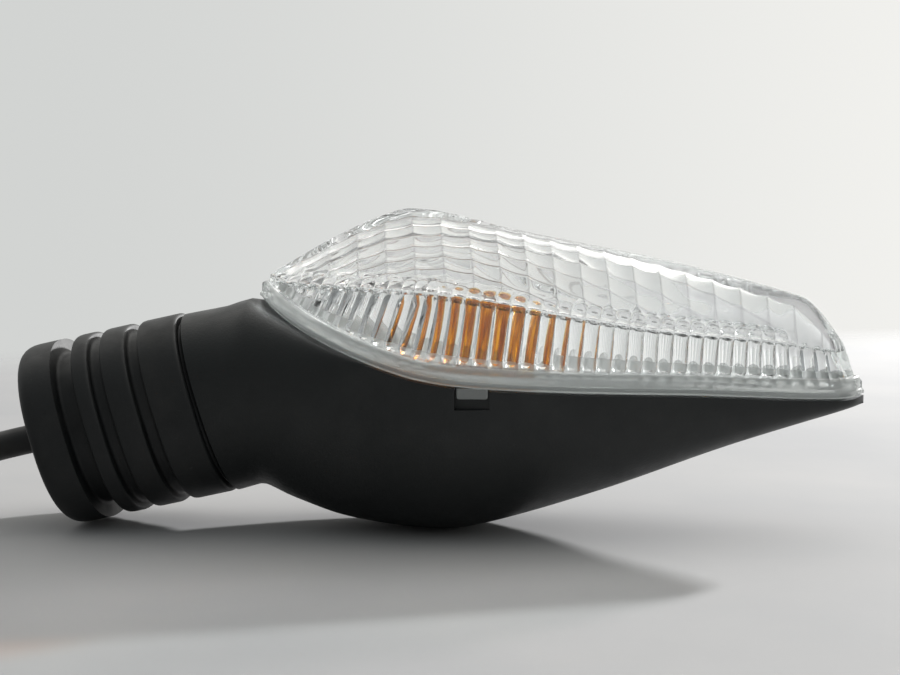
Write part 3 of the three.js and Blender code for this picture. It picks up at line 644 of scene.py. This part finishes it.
def inner_wall_rows():
    """The inside of the wall, from the dome down to the foot, fluted in step with the outside."""
    top = dome_row(0, LENS_THICKNESS)
    foot = rim_band(LENS_ARC, 2.9, LENS_LIFT)
    count = len(LENS_ARC)
    to_the_tip = 1 - smooth(rim_x(LENS_ARC), TIP_X - 3, TIP_X - 1)
    size = to_the_tip * FLUTE_ROUND * INNER_FLUTE_DEPTH
    push = np.r_[size, size[-2:0:-1]][:, None]
    rows = []
    for share in (1, 0.97, 0.9, 0.8, 0.65, 0.5, 0.35, 0.2, 0.1, 0.04):
        row = mix(foot, top, share)
        inward = np.gradient(row[:, :2], axis=0)[:, ::-1] * (-1, 1)
        inward /= np.maximum(np.linalg.norm(inward, axis=1), 1e-9)[:, None]
        ends = float(smooth(share, 0, 0.15) * (1 - smooth(share, 0.85, 1)))
        row[:, :2] += inward * push * ends
        row[0, 1] = row[count - 1, 1] = 0
        rows.append(row)
    return rows


def inner_dome():
    """The ceiling of the dome: rows of pillow optics with creases between them, on a plan grid."""
    rows = [dome_row(share, LENS_THICKNESS) for share in np.linspace(0, 1, 41)]
    points, faces = skin(rows, cap=False)
    tree = BVHTree.FromPolygons([tuple(p) for p in points], faces)
    border = rows[0]
    keep = np.r_[True, np.linalg.norm(np.diff(border[:, :2], axis=0), axis=1) > 1e-4]
    border = border[keep]
    pitch_x, pitch_y = PILLOW_PITCH
    steps_x, steps_y = PILLOW_STEPS
    nx, ny = np.arange(-10 * steps_x, 17 * steps_x), np.arange(-10 * steps_y, 10 * steps_y + 1)
    gx, gy = np.meshgrid(nx, ny, indexing="ij")
    y = gy * pitch_y / steps_y
    x = gx * pitch_x / steps_x + PILLOW_SKEW * np.abs(y)
    away = np.min([np.hypot(x - px, y - py) for px, py, _ in border[::3]], axis=0)
    half = np.interp(x, border[: len(border) // 2, 0], -border[: len(border) // 2, 1], left=0, right=0)
    inside = (np.abs(y) < half) & (away > 0.35)
    index = np.full(x.shape, -1)
    index[inside] = np.arange(inside.sum()) + len(border)
    edges = [(i, (i + 1) % len(border)) for i in range(len(border))]
    for i, j in np.argwhere(inside):
        if j % steps_y == 0 and i + 1 < len(nx) and inside[i + 1, j]:
            edges.append((index[i, j], index[i + 1, j]))
        if i % steps_x == 0 and j + 1 < len(ny) and inside[i, j + 1]:
            edges.append((index[i, j], index[i, j + 1]))
    plan = [Vector(p[:2]) for p in border] + [Vector(p) for p in zip(x[inside], y[inside])]
    made, _, faces, origin, _, _ = delaunay_2d_cdt(plan, edges, [], 1, 1e-5)
    fade = dict(zip(index[inside], smooth(away[inside], 0.8, 2.4)))
    points = []
    for place, source in zip(made, origin):
        if source and source[0] < len(border):
            points.append(border[source[0]])
            continue
        hit = tree.ray_cast(Vector((place.x, place.y, 100)), Vector((0, 0, -1)))[0]
        u = (place.x - PILLOW_SKEW * abs(place.y)) / pitch_x % 1
        v = place.y / pitch_y % 1
        depth = PILLOW_DEPTH[0] * (1 - (2 * u - 1) ** 2) + PILLOW_DEPTH[1] * (1 - (2 * v - 1) ** 2)
        strength = fade[source[0]] if source else 0.5
        points.append((place.x, place.y, (hit.z if hit else border[0, 2]) - depth * strength))
    return np.array(points), [tuple(f) for f in faces]


def make_lens():
    """The clear moulding, one closed skin from the inner wall round the flange to the crest."""
    wall = outer_wall_rows()
    ridge = wall_row(1, 0)
    dome = [dome_row(share, 0) for share in np.r_[0.09, np.linspace(0.13, 1, 18)]]
    rows = [*inner_wall_rows(), *flange_rows(), *wall, *rounded_ridge(wall[-1], ridge, dome[0]), *dome]
    points, faces = skin(rows, cap=False)
    ceiling, ceiling_faces = inner_dome()
    faces += [tuple(i + len(points) for i in face) for face in ceiling_faces]
    lens = mesh_object("lens_moulding", np.r_[points, ceiling], faces, 24)
    dress(lens, "clear_lens", "lens")
    finish_lens(lens)
    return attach(lens, "lens")


def finish_lens(lens):
    """The flange is textured and cloudy, and the ceiling of the dome carries the pillow optics with
    painted shade along their creases.
    """
    lens.data.materials.append(LENS_FLANGE)
    lens.data.materials.append(LENS_OPTICS)
    for face in lens.data.polygons:
        x, y, z = face.center / MM
        if z < rim_height(x, y) + LENS_FLANGE_TOP - 0.1:
            face.material_index = 1
        elif face.normal.z < -0.25 and z > ridge_height(x) - 1.9:
            face.material_index = 2


def make_lens_tab(side):
    """A snap tab that hangs from the flange into the notch of the housing."""
    edge = float(rim_half_width(TAB_X))
    top = rim_height(TAB_X, edge) + GAP - 0.02
    bottom = rim_height(TAB_X, edge) - TAB_DROP
    outline = rounded([(-TAB_WIDTH / 2, top), (-TAB_WIDTH / 2, bottom), (TAB_WIDTH / 2, bottom),
                       (TAB_WIDTH / 2, top)], 0.5)
    rings = []
    back = edge - TAB_THICKNESS
    for inset, y in ((0.15, edge), (0, edge - 0.15), (0, back + 0.15), (0.15, back)):
        middle = (top + bottom) / 2
        x = outline[:, 0] * (1 - 2 * inset / TAB_WIDTH) + TAB_X
        z = middle + (outline[:, 1] - middle) * (1 - inset / (top - bottom))
        rings.append(np.c_[x, np.full(len(x), side * y), z])
    tab = ring_object(f"lens_tab_{'near' if side < 0 else 'far'}", rings)
    dress(tab, "clear_lens")
    tab.data.materials[0] = LENS_FLANGE
    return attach(tab, "lens")


make_lens()
for side in (-1, 1):
    make_lens_tab(side)

# ---- gasket and reflector --------------------------------------------------------------------------


def make_gasket():
    """The rubber cord between the housing's rim and the lens flange."""
    corners = [(1.1, 0.5), (1.1, 0.32), (1.28, 0.3), (1.9, 0.3), (2.1, 0.36), (2.1, 0.6), (1.9, 0.75),
               (1.3, 0.75)]
    rings = [rim_band(PLAIN_ARC, inset, lift) for inset, lift in corners]
    gasket = ring_object("gasket_cord", rings, loop=True)
    dress(gasket, "rubber", "lens_gasket")
    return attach(gasket, "head")


BULB_X = 8.5
REFLECTOR_HOLE = 10.4
REFLECTOR_HOLE_Z = 22.6
REFLECTOR_FACETS = 24
FACET_DEPTH = 0.9


def dish_row(share, lift):
    """A row of the faceted dish, from the bulb hole (share 0) to the edge inside the rim (share 1)."""
    x = rim_x(PLAIN_ARC)
    x, y = rim_side(PLAIN_ARC, 3 + 1.2 * smooth(-x, 20, 30) + 3.6 * smooth(x, 45, 70))
    angle = np.arctan2(y, x - BULB_X)
    facets = np.abs(np.sin(np.linspace(0, np.pi * REFLECTOR_FACETS, len(x))))
    z = mix(REFLECTOR_HOLE_Z, rim_height(x, y) - 2.2, share**1.5) + lift
    z += FACET_DEPTH * facets * smooth(share, 0, 0.3) * (1 - smooth(share, 0.75, 1))
    return both_sides(mix(BULB_X + REFLECTOR_HOLE * np.cos(angle), x, share),
                      mix(REFLECTOR_HOLE * np.sin(angle), y, share), z)


def make_reflector():
    """The bright dish round the bulb, one millimetre thick."""
    shares = np.linspace(0, 1, 15)
    under = [dish_row(share, 0) for share in shares]
    above = [dish_row(share, 1.0) for share in shares[::-1]]
    dish = ring_object("reflector_dish", [*under, *above], loop=True)
    dress(dish, "mirror_coating", "reflector")
    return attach(dish, "head")


make_gasket()
make_reflector()

# ---- stalk frame -----------------------------------------------------------------------------------

SEAM = np.array([-41.5, 0, 22.1])
STALK_RISE = math.radians(12.5)
STALK_LEAN = math.radians(18)
STALK_AXIS = np.array([math.cos(STALK_RISE), 0, math.sin(STALK_RISE)])
STALK_UP = np.array([-math.sin(STALK_LEAN), 0, math.cos(STALK_LEAN)])
STALK_LENGTH = 29.6
COLLAR_END = 7.4
SEAM_PAD = -0.2
RIB_EDGES = (9.6, 14.2, 16.4, 19.4)
FLANGE_START = 23.0
STALK_HALF_HEIGHT = 16.7
COLLAR_HALF_WIDTH = 14.4
FLANGE_HALF_WIDTH = 16.6
STALK_BORE = 5.6
PLATE_POCKET = (24.4, 26.2, 11.3)
CORE_POCKET = (9.4, 7.4)
SLEEVE_START = 23.6
SLEEVE_END = 31.8
SLEEVE_BORE = 2.65
STALK_ANGLES = np.linspace(0, 2 * np.pi, 96, endpoint=False)


def stalk_points(behind, y, up):
    """Points of the stalk, from their distance behind the seam and their place in the leaning section."""
    y, up = np.broadcast_arrays(np.asarray(y, float), up)
    return SEAM - behind * STALK_AXIS + up[..., None] * STALK_UP + y[..., None] * np.array([0, 1.0, 0])


def stalk_ring(behind, shrink):
    """A section of the stalk: a soft oval, a little narrower at the top."""
    half_width = mix(COLLAR_HALF_WIDTH, FLANGE_HALF_WIDTH, behind / STALK_LENGTH) - shrink
    half_height = STALK_HALF_HEIGHT - shrink
    across, upward = (np.sign(f) * np.abs(f) ** 0.8 for f in (np.cos(STALK_ANGLES), np.sin(STALK_ANGLES)))
    return stalk_points(behind, half_width * across * (1 - 0.09 * upward), half_height * upward)


def stalk_circle(behind, radius):
    return stalk_points(behind, radius * np.cos(STALK_ANGLES), radius * np.sin(STALK_ANGLES))


def make_rubber_stalk():
    """The ribbed stalk. Inside its edge the collar's face stands forward and closes the seam."""
    small, panel = 1.7, 2.8
    near, near_end, far, far_end = RIB_EDGES
    corners = [(GAP, 1.5), (GAP, 0), (COLLAR_END, 0), (COLLAR_END, small), (near, small), (near, 0),
               (near_end, 0), (near_end, small), (far, small), (far, 0),
               (far_end, 0), (far_end, panel), (FLANGE_START, panel), (FLANGE_START, 0)]
    profile = [(SEAM_PAD, 6), (SEAM_PAD, 1.7), *rounded(corners, 0.7)]
    fillet = rounded([(FLANGE_START + 1, 0), (STALK_LENGTH, 0), (STALK_LENGTH, 6)], 2.6, 8)
    outside = [stalk_ring(behind, shrink) for behind, shrink in [*profile, *fillet]]
    plate_front, plate_back, plate_radius = PLATE_POCKET
    core_end, core_radius = CORE_POCKET
    bore = [(STALK_LENGTH, STALK_BORE), (plate_back, STALK_BORE), (plate_back, plate_radius),
            (plate_front, plate_radius), (plate_front, STALK_BORE), (core_end, STALK_BORE),
            (core_end, core_radius), (SEAM_PAD, core_radius)]
    inside = [stalk_circle(behind, radius) for behind, radius in bore]
    stalk = ring_object("rubber_stalk_moulded", [*outside, *inside], loop=True)
    dress(stalk, "rubber", "rubber_stalk")
    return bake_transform(stalk)


def make_strain_relief():
    """The sleeve that guides the lead out of the flange, with a bore for it."""
    outside = rounded([(SLEEVE_START, 3.0), (SLEEVE_START, 5.3), (STALK_LENGTH + GAP, 5.3),
                       (STALK_LENGTH + GAP, 3.5), (31.2, 3.35), (SLEEVE_END, 2.75)], 0.4)
    profile = [*outside, (SLEEVE_END, SLEEVE_BORE), (SLEEVE_START, SLEEVE_BORE)]
    rings = [stalk_circle(behind, radius) for behind, radius in profile]
    relief = ring_object("strain_relief_sleeve", rings, loop=True)
    dress(relief, "rubber", "strain_relief")
    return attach(relief, "mount")


make_rubber_stalk()
strain_relief = make_strain_relief()

# ---- housing ---------------------------------------------------------------------------------------

NOTCH_DROP = 3.3
NOTCH_DEPTH = 1.1
NECK_HALF_WIDTH = 13.6
CORE_RADIUS = 7.1
belly = height_curve((-48, 4.6), (-36, 7.2), (-32, 7.0), (-25.4, 4.9), (-16.3, 1.9), (-4, 0.2), (7, 0.75),
                     (28.8, 7.1), (52, 15.4), (TIP_X, 22.6))
neck_top = height_curve((-55, 34.9), (-46.4, 36.6), (-35, 39.2), (RIM_START_X, RIM_START_Z))


def body_half_width(x):
    flare = smooth(x, -44, -4) * (1 - smooth(x, -8, 12))
    return max(float(rim_half_width(x)), NECK_HALF_WIDTH + 7 * float(flare))


def roof_drop(x):
    """How far the cavity stays below the rim under the shoulders; further on it opens through the rim."""
    return mix(WALL, -1, smooth(x, -14, -4))


def body_section(x, inset, lean, steps=14):
    """A closed section of the housing at x, moved inwards, leaning with the stalk's seam."""
    rim_half = max(0, float(rim_half_width(x)) - inset)
    wide = max(body_half_width(x) - inset if x < 0 else rim_half, rim_half)
    bottom = float(belly(x)) + inset
    if x < RIM_START_X:
        top = float(neck_top(x)) - inset
    else:
        top = float(rim_height(x, rim_half)) - (float(roof_drop(x)) if inset > 0 else 0)
    middle = mix(bottom, top, mix(0.45, 0.8, float(smooth(x, -40, 0))))
    angle = np.linspace(0, np.pi / 2, steps + 1)
    sine, cosine = np.sin(angle) ** 0.85, np.abs(np.cos(angle)) ** 0.85
    lower = np.c_[wide * sine, middle - (middle - bottom) * cosine]
    upper = np.c_[rim_half + (wide - rim_half) * cosine, middle + (top - middle) * sine][1:]
    y = rim_half * (1 - np.linspace(0, 1, 5)[1:])
    lift = rim_height(x, y) - rim_height(x, rim_half) if x >= RIM_START_X else 0 * y
    half = np.r_[lower, upper, np.c_[y, top + lift]]
    ring = np.r_[half * (-1, 1), half[-2:0:-1]]
    return np.c_[x - lean * (ring[:, 1] - SEAM[2]) * math.tan(STALK_LEAN), ring]


def body_rings(inset, start, end, steps):
    along = 1 - (1 - np.linspace(0, 1, steps + 1)) ** 1.25
    return [body_section(x, inset, 1 - float(smooth(x, -42, -24))) for x in mix(start, end, along)]


def cylinder_tool(radius, start, end):
    return ring_object("tool", [stalk_circle(start, radius), stalk_circle(end, radius)])


def make_housing():
    """The shell: a boat-shaped body, hollowed out, open under the lens and notched for its tabs."""
    outer = body_rings(0, SEAM[0] + GAP, TIP_X - 0.05, 90)
    edge = outer[0].mean(0) + (outer[0] - outer[0].mean(0)) * 0.98
    outer[0] += STALK_AXIS * 0.25
    housing = ring_object("housing_moulded", [edge, *outer])
    cavity = ring_object("tool", body_rings(WALL, -36, TIP_X - 4, 50))
    mouth_x, mouth_y = rim_side(PLAIN_ARC, WALL + 0.4)
    edge_z = rim_height(mouth_x, mouth_y)
    mouth = ring_object("tool", [both_sides(mouth_x, mouth_y, edge_z - roof_drop(mouth_x) - 0.5),
                                 both_sides(mouth_x, mouth_y, edge_z + 12)])
    notches = []
    reach = float(rim_half_width(TAB_X))
    bottom = rim_height(TAB_X, reach) - NOTCH_DROP
    for side in (-1, 1):
        y = sorted((side * (reach - NOTCH_DEPTH), side * (reach + 3)))
        half = TAB_WIDTH / 2 + GAP
        notches.append(box_tool((TAB_X - half, y[0], bottom), (TAB_X + half, y[1], bottom + 12)))
    carve(housing, cavity, mouth, cylinder_tool(CORE_RADIUS + GAP, -9, 12), *notches)
    dress(housing, "black_plastic", "housing")
    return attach(housing, "head")


make_housing()

# ---- bulb glass ------------------------------------------------------------------------------------

GLOBE_RADIUS = 9.5
GLOBE_Z = 32.25
GLASS_WALL = 0.8
GLASS_NECK_RADIUS = 6.6
GLASS_BOTTOM_Z = 17.45


def turned_rings(profile, count=64):
    angle = np.linspace(0, 2 * np.pi, count, endpoint=False)
    return [np.c_[BULB_X + r * np.cos(angle), r * np.sin(angle), np.full(count, z)] for r, z in profile]


def globe_profile(inset):
    radius, neck = GLOBE_RADIUS - inset, GLASS_NECK_RADIUS - inset
    angles = np.linspace(0.001, math.pi - math.asin(neck / radius), 24)
    arc = [(radius * math.sin(a), GLOBE_Z + radius * math.cos(a)) for a in angles]
    return [*arc, (neck, GLASS_BOTTOM_Z)]


def make_bulb_glass():
    """The blown globe and its neck, open round the stem."""
    rings = turned_rings([*globe_profile(0), *globe_profile(GLASS_WALL)[::-1]])
    glass = ring_object("bulb_glass_blown", rings, loop=False, cap=True)
    dress(glass, "amber_glass", "bulb_glass")
    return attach(glass, "bulb")


make_bulb_glass()

# ---- connector, tie and the remaining CAD pieces ---------------------------------------------------


def make_connector_seal():
    """A ribbed rubber seal between the lead and the connector."""
    low, high = (np.array(corner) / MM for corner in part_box("connector_seal"))
    middle, size = (low + high) / 2, (high - low) / 2
    angle = np.linspace(0, 2 * np.pi, 48, endpoint=False)
    across, upward = (np.sign(f) * np.abs(f) ** 0.55 for f in (np.cos(angle), np.sin(angle)))
    rings = []
    for x in np.linspace(-1, 1, 25):
        grow = 0.9 + 0.1 * abs(math.sin(1.5 * math.pi * (x + 1)))
        section = np.c_[np.full(48, x), across * grow, upward * grow]
        rings.append(middle + section * size)
    seal = ring_object("connector_seal_ribbed", rings)
    dress(seal, "rubber", "connector_seal")
    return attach(seal, "mount")


TIE_ANGLE = math.radians(190)


def tie_point(out, along, up):
    """A point near the coil's tie: outwards from the middle of the turns, along them, and above it."""
    outward = np.array([math.cos(TIE_ANGLE), math.sin(TIE_ANGLE), 0])
    forward = np.array([-outward[1], outward[0], 0])
    centre = np.array([*COIL_CENTRE, 0]) / MM + outward * COIL_RADIUS / MM + np.array([0, 0, 5.7])
    out, along, up = (np.asarray(v, float)[..., None] for v in np.broadcast_arrays(out, along, up))
    return centre + out * outward + along * forward + up * np.array([0, 0, 1.0])


def make_tie():
    """A flat strap round both passes of the coil, with its lock block outside."""
    turn = np.linspace(0, 2 * np.pi, 40, endpoint=False)
    across = np.sign(np.cos(turn)) * np.abs(np.cos(turn)) ** 0.6
    upward = np.sign(np.sin(turn)) * np.abs(np.sin(turn)) ** 0.45
    strap = [tie_point(across * (2.35 + grow), side, upward * (5.2 + grow))
             for side, grow in ((-1.3, 0), (-1.3, 0.45), (1.3, 0.45), (1.3, 0))]
    lock = rounded([(-1.9, 0), (-1.9, -2.4), (1.9, -2.4), (1.9, 2.4), (-1.9, 2.4), (-1.9, 0)], 0.5)
    block = [tie_point(out, lock[:-1, 0] * grow, lock[:-1, 1] * grow)
             for out, grow in ((2.5, 1), (5.0, 1), (5.3, 0.86))]
    points, faces = skin(strap, loop=True)
    more_points, more_faces = skin(block)
    faces += [tuple(i + len(points) for i in face) for face in more_faces]
    tie = mesh_object("lead_tie", np.r_[points, more_points], faces)
    dress(tie, "black_plastic")
    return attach(tie, "mount")


seal = make_connector_seal()
tie = make_tie()
for node in sorted(frame["nodes"]):
    if frame["nodes"][node].hide_render:
        continue
    thin = "wire" in node or "filament" in node or "spring" in node
    broad = 0.4 if node == "connector" else 0.08
    piece = polished(node, BODY_OF[node], node_slot(node), 0 if thin else broad)
    if node == "contact_spring":
        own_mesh(piece)

# ---- floor and light -------------------------------------------------------------------------------

FLOOR_END = (0.30, 0.40)
FLOOR_END_SLOPE = 0.37


def make_floor():
    """A pale table top that fades out behind, where the studio's background takes over."""
    floor = mesh_object("floor", [(-3000, -3000, 0), (3000, -3000, 0), (3000, 3000, 0), (-3000, 3000, 0)],
                        [(0, 1, 2, 3)])
    n = Nodes("pale_floor")
    tone = n.ramp(n.noise(14, 4, 0.5), 0.35, 0.65, 0.0, 1.0)
    base = n.blend(tone, (0.385, 0.385, 0.392, 1), (0.43, 0.425, 0.425, 1))
    shader = n.add("ShaderNodeBsdfPrincipled", Base_Color=base, Roughness=0.85)
    x, y, _ = n.axes()
    depth = n.math("SUBTRACT", y, n.math("MULTIPLY", x, FLOOR_END_SLOPE))
    both = n.add("ShaderNodeMixShader", Fac=n.ramp(depth, *FLOOR_END, 0.0, 1.0))
    n.tree.links.new(shader.outputs[0], both.inputs[1])
    n.tree.links.new(n.add("ShaderNodeBsdfTransparent").outputs[0], both.inputs[2])
    floor.data.materials.append(n.finish(both.outputs[0]))


# Brightness of the studio by direction: brighter behind the lamp, to the right of it and overhead.
WORLD_TONES = [("Y", -0.5, 0.6, 0.27, 1.0), ("X", -0.35, 0.35, 0.66, 0.92), ("Z", 0.2, 0.9, 1.0, 1.9)]

# Its dim side is cooler and its bright side warmer.
WORLD_TINTS = [(0.3, (0.94, 0.995, 1.0, 1)), (0.95, (1.0, 0.99, 0.955, 1))]


def make_world():
    """A plain studio all round that lights the lamp softly."""
    world = bpy.data.worlds.new("studio")
    bpy.context.scene.world = world
    world.use_nodes = True
    tree = world.node_tree
    tree.nodes.clear()
    place = tree.nodes.new("ShaderNodeTexCoord").outputs["Generated"]
    split = tree.nodes.new("ShaderNodeSeparateXYZ")
    tree.links.new(place, split.inputs[0])
    product = None
    for axis, low, high, dim, bright in WORLD_TONES:
        reach = tree.nodes.new("ShaderNodeMapRange")
        reach.interpolation_type = "SMOOTHSTEP"
        tree.links.new(split.outputs[axis], reach.inputs[0])
        for i, number in enumerate((low, high, dim, bright)):
            reach.inputs[i + 1].default_value = number
        if product is None:
            product = reach
            continue
        both = tree.nodes.new("ShaderNodeMath")
        both.operation = "MULTIPLY"
        tree.links.new(product.outputs[0], both.inputs[0])
        tree.links.new(reach.outputs[0], both.inputs[1])
        product = both
    background = tree.nodes.new("ShaderNodeBackground")
    tint = tree.nodes.new("ShaderNodeValToRGB")
    for stop, (share, colour) in zip(tint.color_ramp.elements, WORLD_TINTS):
        stop.position, stop.color = share, colour
    tree.links.new(product.outputs[0], tint.inputs[0])
    tree.links.new(tint.outputs[0], background.inputs["Color"])
    tree.links.new(product.outputs[0], background.inputs["Strength"])
    output = tree.nodes.new("ShaderNodeOutputWorld")
    tree.links.new(background.outputs[0], output.inputs["Surface"])


def make_light(name, place, target, size, power):
    data = bpy.data.lights.new(name, "AREA")
    data.shape, data.size, data.energy = "DISK", size, power
    light = link(name, data)
    light.location = place
    light.rotation_euler = (Vector(target) - Vector(place)).to_track_quat("-Z", "Y").to_euler()


make_floor()
make_world()
make_light("window", (0.62, 0.84, 0.43), (0.0, 0.0, 0.02), 0.07, 16.0)
bpy.context.scene.view_settings.view_transform = "Standard"
